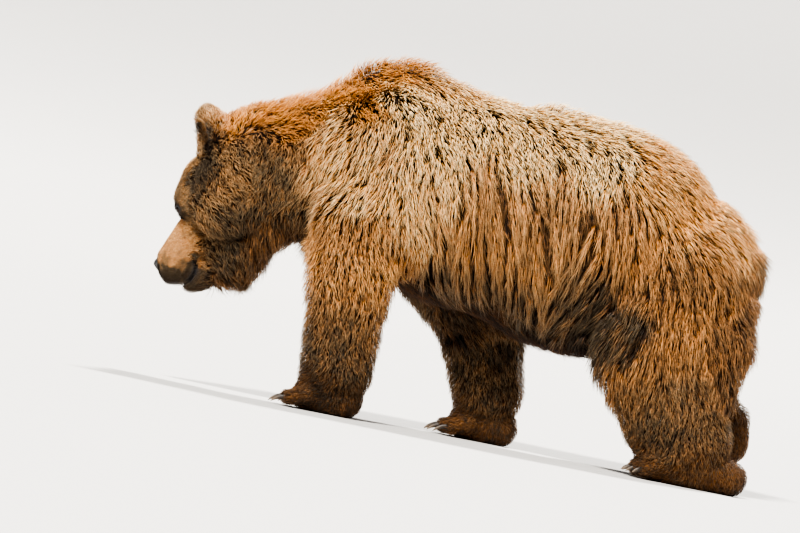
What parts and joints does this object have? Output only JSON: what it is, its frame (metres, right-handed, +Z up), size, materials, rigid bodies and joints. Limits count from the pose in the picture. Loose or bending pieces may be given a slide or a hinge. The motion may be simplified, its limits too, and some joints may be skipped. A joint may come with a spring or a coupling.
{
  "type": "brown bear model",
  "caption": "Life-size still model of a brown bear, walking with its head lowered and turned aside, with shoulder hump, round ears, short tail and long claws.",
  "frame": {"origin": "on the floor, under the middle of the animal's bounding box", "axes": "+Z up, the bear walks towards -X, its left side faces -Y"},
  "size_m": [1.719, 0.5528, 0.9914],
  "materials": {
    "back_fur": "long guard hair over dense underfur, satin to dull",
    "crest_fur": "long guard hair over dense underfur, satin to dull",
    "face_fur": "short dense hair, dull",
    "muzzle_fur": "very short hair, dull",
    "leg_fur": "short to middling hair, dull",
    "nose_skin": "bare pebbled skin, moist",
    "eye": "dark brown, wet gloss",
    "claw": "horn, dark, satin"
  },
  "bodies": {
    "root": {"trunk": "back_fur", "neck": "crest_fur", "tail": "back_fur", "head": "face_fur", "left_eye": "eye", "right_eye": "eye", "muzzle": "muzzle_fur", "lower_jaw": "muzzle_fur", "nose": "nose_skin", "left_ear": "crest_fur", "right_ear": "crest_fur", "left_fore_upper": "back_fur", "left_fore_lower": "leg_fur", "left_fore_paw": "leg_fur", "left_fore_claw_1": "claw", "left_fore_claw_2": "claw", "left_fore_claw_3": "claw", "left_fore_claw_4": "claw", "left_fore_claw_5": "claw", "right_fore_upper": "back_fur", "right_fore_lower": "leg_fur", "right_fore_paw": "leg_fur", "right_fore_claw_1": "claw", "right_fore_claw_2": "claw", "right_fore_claw_3": "claw", "right_fore_claw_4": "claw", "right_fore_claw_5": "claw", "left_hind_thigh": "back_fur", "left_hind_shank": "leg_fur", "left_hind_paw": "leg_fur", "left_hind_claw_1": "claw", "left_hind_claw_2": "claw", "left_hind_claw_3": "claw", "left_hind_claw_4": "claw", "left_hind_claw_5": "claw", "right_hind_thigh": "back_fur", "right_hind_shank": "leg_fur", "right_hind_paw": "leg_fur", "right_hind_claw_1": "claw", "right_hind_claw_2": "claw", "right_hind_claw_3": "claw", "right_hind_claw_4": "claw", "right_hind_claw_5": "claw"}
  },
  "joints": []
}
